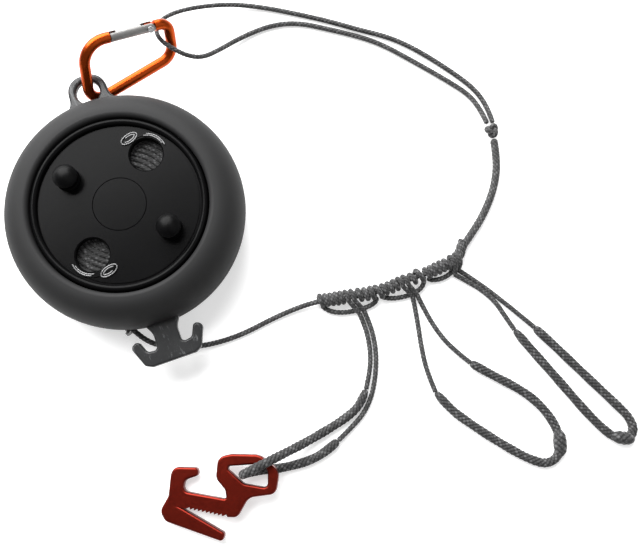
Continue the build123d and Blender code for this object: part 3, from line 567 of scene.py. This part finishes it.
# ================================================================ wound line
# The rest of the line is wound on the spool. Its top layer shows through the finger holes as
# side-by-side turns of braid.
SPOOL_RADIUS, WOUND_RADIUS, WOUND_TOP, WOUND_LOW = 0.009, 0.0275, 0.0213, 0.0042
core = bmesh.new()
profile = [
    (SPOOL_RADIUS, WOUND_LOW), (WOUND_RADIUS, WOUND_LOW),
    (WOUND_RADIUS, WOUND_TOP - 0.0014), (SPOOL_RADIUS, WOUND_TOP - 0.0014),
]
loop = [core.verts.new((r, 0, z)) for r, z in profile]
edges = [core.edges.new((loop[k], loop[(k + 1) % 4])) for k in range(4)]
bmesh.ops.spin(
    core, geom=loop + edges, cent=(0, 0, 0), axis=(0, 0, 1), angle=2 * math.pi, steps=96, use_merge=True
)
bmesh.ops.remove_doubles(core, verts=core.verts, dist=1e-6)
bmesh.ops.recalc_face_normals(core, faces=core.faces)
core_mesh = bpy.data.meshes.new("wound_core")
core.to_mesh(core_mesh)
core.free()
core_piece = bpy.data.objects.new("wound_core", core_mesh)
turns = np.linspace(0, 9.1, 1400)
layer = np.stack(
    [
        (0.0099 + 0.00182 * turns) * np.cos(2 * np.pi * turns),
        (0.0099 + 0.00182 * turns) * np.sin(2 * np.pi * turns),
        WOUND_TOP - LINE_RADIUS - 0.00012 * (1 + np.sin(5.3 * turns)),
    ],
    axis=1,
)
top_layer = braided_tube(
    "wound_top", evenly(layer, 0.0005), LINE_RADIUS, LINE_STRANDS, LOOP_END_PICK, 0.18, 14
)
lower = layer + np.array([0, 0, -0.0016])
lower[:, :2] *= 0.965
under_layer = braided_tube(
    "wound_under", evenly(lower, 0.0006), LINE_RADIUS, LINE_STRANDS, LOOP_END_PICK, 0.18, 12
)
wound = joined("wound_line_braid", [top_layer, under_layer, core_piece])
# The wound turns get a far darker copy of the line's braid colours: painted shade for the turns deep inside
# the finger holes.
SHADED_WOUND_BRAID = braid_material(
    "wound_braid_painted_shade",
    dark=(0.003, 0.003, 0.0032, 1),
    light=(0.018, 0.018, 0.0185, 1),
    fleck=(0.09, 0.09, 0.092, 1),
    crease_shade=(0.0008, 0.0008, 0.0008, 1),
)
wound.data.materials.append(SHADED_WOUND_BRAID)
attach(wound, "spool")
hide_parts("wound_line")


# ================================================================ soft ring
# Two halves of soft-touch rubber are moulded over the housing's edge. They meet at a fine
# parting groove, and their skin is matt with a very fine sand texture.


def object_noise(tree, scale, detail=3.0, rough=0.55):
    """Noise on the piece's own coordinates."""
    place = wire(tree, "TexCoord", out=3)
    return wire(tree, "TexNoise", place, scale, detail, rough)


def finished(names, material):
    """Gives carried-over pieces their finish."""
    for name in names:
        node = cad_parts[name]
        node = bpy.data.objects[node] if isinstance(node, str) else node
        for slot in node.material_slots:
            slot.material = material


RING_RUBBER, tree, shader = new_material("ring_rubber")
shader.inputs["Roughness"].default_value = 0.6
shader.inputs["Specular IOR Level"].default_value = 0.14
cloudy = object_noise(tree, 60.0, 4.0)
tone = mixed(tree, cloudy, (0.0150, 0.0150, 0.0153, 1), (0.0195, 0.0195, 0.02, 1))
tree.links.new(tone, shader.inputs["Base Color"])
sand = object_noise(tree, 5200.0, 2.0)
tree.links.new(wire(tree, "Bump", 0.25, 0.00006, None, sand), shader.inputs["Normal"])
finished(["front_ring", "rear_ring"], RING_RUBBER)

# ================================================================ frame with lug and cleat
# The hard frame is injection-moulded nylon. Its lug and cleat stand out of the ring and have a slightly
# glossier skin, with small painted glints speckled into its colour.
FRAME_NYLON, tree, shader = new_material("frame_nylon")
shader.inputs["Roughness"].default_value = 0.26
shader.inputs["Specular IOR Level"].default_value = 0.22
place = wire(tree, "TexCoord", out=3)
drawn_out = wire(tree, "Mapping", place, None, None, (520.0, 130.0, 520.0))
speckle = wire(tree, "TexNoise", drawn_out, 1.0, 4.0, 0.7, None, 1.2)
# Painted highlight: the brightest speckles are mixed towards a pale grey as glints.
painted_glints = wire(tree, "MapRange", speckle, 0.57, 0.72, 0.0, 1.0)
tone = mixed(tree, object_noise(tree, 90.0), (0.015, 0.0155, 0.016, 1), (0.03, 0.0305, 0.0315, 1))
tone = mixed(tree, sums(tree, "MULTIPLY", painted_glints, 0.55), tone, (0.16, 0.165, 0.17, 1))
tree.links.new(tone, shader.inputs["Base Color"])
tree.links.new(wire(tree, "Bump", 0.6, 0.0002, None, speckle), shader.inputs["Normal"])
finished(["housing_frame"], FRAME_NYLON)

# ================================================================ crank disc
# The disc, its hub cap and its two finger pegs are black nylon. The disc is satin with a rounded
# rim bead, and the pegs are worn smoother on their domes.
DISC_BLACK, tree, shader = new_material("disc_black")
shader.inputs["Roughness"].default_value = 0.24
shader.inputs["Specular IOR Level"].default_value = 0.05
grain = object_noise(tree, 3000.0, 2.0)
tone = mixed(tree, object_noise(tree, 70.0), (0.0018, 0.0018, 0.0019, 1), (0.003, 0.003, 0.0032, 1))
tree.links.new(tone, shader.inputs["Base Color"])
tree.links.new(wire(tree, "Bump", 0.2, 0.00004, None, grain), shader.inputs["Normal"])
finished(["crank_disc"], DISC_BLACK)

# Each finger hole has a raised, polished mark on its rim side: an open oval and a short tail that show the
# winding direction. The marks are glossy black, and their grey flecked colour is painted highlight.
PEG_CIRCLE, DISC_FACE = 0.0197, 0.024
MARK_BEAD, MARK_RISE = 0.00024, 0.00035
MARK_GLOSS_PAINTED_SHINE, tree, shader = new_material("mark_gloss_painted_highlight")
shader.inputs["Roughness"].default_value = 0.16
shader.inputs["Specular IOR Level"].default_value = 0.9
# Painted highlight: grey flecks far lighter than the disc's black stand in for the shine on the bead.
tone = mixed(tree, object_noise(tree, 900.0), (0.03, 0.03, 0.031, 1), (0.16, 0.16, 0.163, 1))
tree.links.new(tone, shader.inputs["Base Color"])
tree.links.new(wire(tree, "Bump", 0.9, 0.00015, None, object_noise(tree, 1300.0)), shader.inputs["Normal"])
for letter, hole_angle in (("a", 45), ("b", 225)):
    hole = Matrix.Rotation(math.radians(hole_angle), 4, "Z")
    hole = hole @ Matrix.Translation((PEG_CIRCLE, 0, DISC_FACE + MARK_RISE))
    parts = []
    for place, tilt, half_long, half_wide, first_turn, last_turn in (
        ((0.0024, 0.0078), 152, 0.0031, 0.0015, 0, 360),
        ((0.0024, 0.0078), 152, 0.0022, 0.0008, 20, 300),
        ((0.0, 0.0), 0, 0.0074, 0.0071, -38, 28),
        ((0.0, 0.0), 0, 0.0068, 0.0066, -30, 36),
    ):
        angles = np.radians(np.linspace(first_turn, last_turn, 90))
        c, s = math.cos(math.radians(tilt)), math.sin(math.radians(tilt))
        along, across = half_long * np.cos(angles), half_wide * np.sin(angles)
        ring = [
            tuple(hole @ Vector((place[0] + u * c - v * s, place[1] + u * s + v * c, 0)))
            for u, v in zip(along, across)
        ]
        parts.append(braided_tube("bead", evenly(np.array(ring), 0.0001), MARK_BEAD, 2, 0.002, 0.0, 10))
    mark = joined(f"winding_mark_{letter}", parts)
    mark.data.materials.append(MARK_GLOSS_PAINTED_SHINE)
    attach(mark, "spool")

CAP_BLACK, tree, shader = new_material("cap_black")
shader.inputs["Roughness"].default_value = 0.24
shader.inputs["Specular IOR Level"].default_value = 0.05
tone = mixed(tree, object_noise(tree, 110.0), (0.0018, 0.0018, 0.0019, 1), (0.003, 0.003, 0.0032, 1))
tree.links.new(tone, shader.inputs["Base Color"])
grain = object_noise(tree, 4200.0, 2.0)
tree.links.new(wire(tree, "Bump", 0.2, 0.00004, None, grain), shader.inputs["Normal"])
finished(["hub_cap"], CAP_BLACK)

PEG_NYLON, tree, shader = new_material("peg_nylon")
shader.inputs["Specular IOR Level"].default_value = 0.07
worn = object_noise(tree, 240.0, 3.0)
tone = mixed(tree, worn, (0.0012, 0.0012, 0.0013, 1), (0.0028, 0.0028, 0.003, 1))
tree.links.new(tone, shader.inputs["Base Color"])
tree.links.new(wire(tree, "MapRange", worn, 0.3, 0.7, 0.28, 0.45), shader.inputs["Roughness"])
grain = object_noise(tree, 3600.0, 2.0)
tree.links.new(wire(tree, "Bump", 0.15, 0.00004, None, grain), shader.inputs["Normal"])
finished(["finger_peg_a", "finger_peg_b"], PEG_NYLON)

# ================================================================ spool, bush, cover and eyelet
# The spool behind the disc, the acetal bush on the axle post, the rear cover that carries the
# post, and the hard black eyelet that the line runs through.
SPOOL_BLACK, tree, shader = new_material("spool_black")
shader.inputs["Roughness"].default_value = 0.55
tone = mixed(tree, object_noise(tree, 120.0), (0.007, 0.007, 0.0075, 1), (0.011, 0.011, 0.0115, 1))
tree.links.new(tone, shader.inputs["Base Color"])
tree.links.new(wire(tree, "Bump", 0.2, 0.00005, None, object_noise(tree, 3000.0)), shader.inputs["Normal"])
finished(["spool_core"], SPOOL_BLACK)

BUSH_ACETAL, tree, shader = new_material("bush_acetal")
shader.inputs["Roughness"].default_value = 0.4
tone = mixed(tree, object_noise(tree, 400.0), (0.66, 0.65, 0.60, 1), (0.72, 0.71, 0.67, 1))
tree.links.new(tone, shader.inputs["Base Color"])
finished(["spool_bush"], BUSH_ACETAL)

COVER_NYLON, tree, shader = new_material("cover_nylon")
shader.inputs["Roughness"].default_value = 0.5
tone = mixed(tree, object_noise(tree, 80.0), (0.026, 0.0262, 0.027, 1), (0.035, 0.0355, 0.037, 1))
tree.links.new(tone, shader.inputs["Base Color"])
grain = object_noise(tree, 2200.0, 3.0)
tree.links.new(wire(tree, "Bump", 0.4, 0.00006, None, grain), shader.inputs["Normal"])
finished(["rear_cover"], COVER_NYLON)

EYELET_BLACK, tree, shader = new_material("eyelet_black")
shader.inputs["Roughness"].default_value = 0.25
tone = mixed(tree, object_noise(tree, 500.0), (0.006, 0.006, 0.0065, 1), (0.01, 0.01, 0.0105, 1))
tree.links.new(tone, shader.inputs["Base Color"])
finished(["line_eyelet"], EYELET_BLACK)

# ================================================================ carabiner
# A small wire carabiner of forged aluminium rod, anodised orange, with a silver tube gate on a
# steel rivet and a coil spring and plunger inside the gate.
ORANGE_ANODISED, tree, shader = new_material("orange_anodised")
shader.inputs["Metallic"].default_value = 1.0
shader.inputs["Coat Weight"].default_value = 0.06
shader.inputs["Coat Roughness"].default_value = 0.12
drawn = object_noise(tree, 900.0, 3.0)
tone = mixed(tree, object_noise(tree, 130.0), (0.34, 0.042, 0.005, 1), (0.44, 0.066, 0.007, 1))
tree.links.new(tone, shader.inputs["Base Color"])
tree.links.new(wire(tree, "MapRange", drawn, 0.3, 0.7, 0.26, 0.38), shader.inputs["Roughness"])
tree.links.new(wire(tree, "Bump", 0.12, 0.00004, None, drawn), shader.inputs["Normal"])
finished(["carabiner_body"], ORANGE_ANODISED)

GATE_SILVER, tree, shader = new_material("gate_silver")
shader.inputs["Metallic"].default_value = 0.85
brushed = object_noise(tree, 1600.0, 3.0)
tone = mixed(tree, object_noise(tree, 300.0), (0.20, 0.197, 0.193, 1), (0.28, 0.276, 0.27, 1))
tree.links.new(tone, shader.inputs["Base Color"])
tree.links.new(wire(tree, "MapRange", brushed, 0.3, 0.7, 0.42, 0.55), shader.inputs["Roughness"])
tree.links.new(wire(tree, "Bump", 0.12, 0.00003, None, brushed), shader.inputs["Normal"])
finished(["carabiner_gate"], GATE_SILVER)

BRIGHT_STEEL, tree, shader = new_material("bright_steel")
shader.inputs["Metallic"].default_value = 1.0
scuffed = object_noise(tree, 1200.0, 3.0)
tone = mixed(tree, scuffed, (0.40, 0.40, 0.41, 1), (0.54, 0.54, 0.55, 1))
tree.links.new(tone, shader.inputs["Base Color"])
tree.links.new(wire(tree, "MapRange", scuffed, 0.3, 0.7, 0.18, 0.32), shader.inputs["Roughness"])
finished(
    ["gate_rivet", "gate_spring", "gate_plunger", "cover_screws", "axle_screw", "axle_washer"], BRIGHT_STEEL
)

# ================================================================ line hook
# A flat toothed hook cut from aluminium plate and anodised dark red. Its rounded edges catch
# the light.
RED_ANODISED, tree, shader = new_material("red_anodised")
shader.inputs["Metallic"].default_value = 1.0
shader.inputs["Coat Weight"].default_value = 0.1
shader.inputs["Coat Roughness"].default_value = 0.25
satin = object_noise(tree, 1500.0, 3.0)
tone = mixed(tree, object_noise(tree, 160.0), (0.12, 0.0085, 0.0045, 1), (0.17, 0.0145, 0.007, 1))
tree.links.new(tone, shader.inputs["Base Color"])
tree.links.new(wire(tree, "MapRange", satin, 0.3, 0.7, 0.30, 0.42), shader.inputs["Roughness"])
tree.links.new(wire(tree, "Bump", 0.2, 0.00004, None, satin), shader.inputs["Normal"])
finished(["line_hook"], RED_ANODISED)

# ================================================================ floor and light
# A plain white table under a large soft box, with a weaker one in front for the cords.
ground = bmesh.new()
bmesh.ops.create_grid(ground, x_segments=1, y_segments=1, size=3.0)
ground_mesh = bpy.data.meshes.new("floor")
ground.to_mesh(ground_mesh)
ground.free()
floor = bpy.data.objects.new("floor", ground_mesh)
scene.collection.objects.link(floor)
FLOOR_WHITE, tree, shader = new_material("floor_white")
shader.inputs["Base Color"].default_value = (0.72, 0.72, 0.72, 1)
shader.inputs["Emission Color"].default_value = (1, 1, 1, 1)
shader.inputs["Emission Strength"].default_value = 0.5
shader.inputs["Roughness"].default_value = 0.9
shader.inputs["Specular IOR Level"].default_value = 0.1
floor.data.materials.append(FLOOR_WHITE)


def soft_box(name, place, target, size, power):
    light = bpy.data.lights.new(name, "AREA")
    light.shape, light.size, light.energy = "SQUARE", size, power
    lamp = bpy.data.objects.new(name, light)
    lamp.location = place
    lamp.rotation_euler = (Vector(place) - Vector(target)).to_track_quat("Z", "Y").to_euler()
    scene.collection.objects.link(lamp)


soft_box("key_light", (-0.1, 0.85, 0.75), (0.04, -0.02, 0), 1.3, 56.0)
soft_box("fill_light", (0.6, -0.5, 0.9), (0.04, -0.02, 0), 1.2, 2.5)
sky = bpy.data.worlds.new("studio")
sky.use_nodes = True
sky.node_tree.nodes["Background"].inputs[0].default_value = (1, 1, 1, 1)
sky.node_tree.nodes["Background"].inputs[1].default_value = 0.27
scene.world = sky
scene.view_settings.view_transform = "Standard"
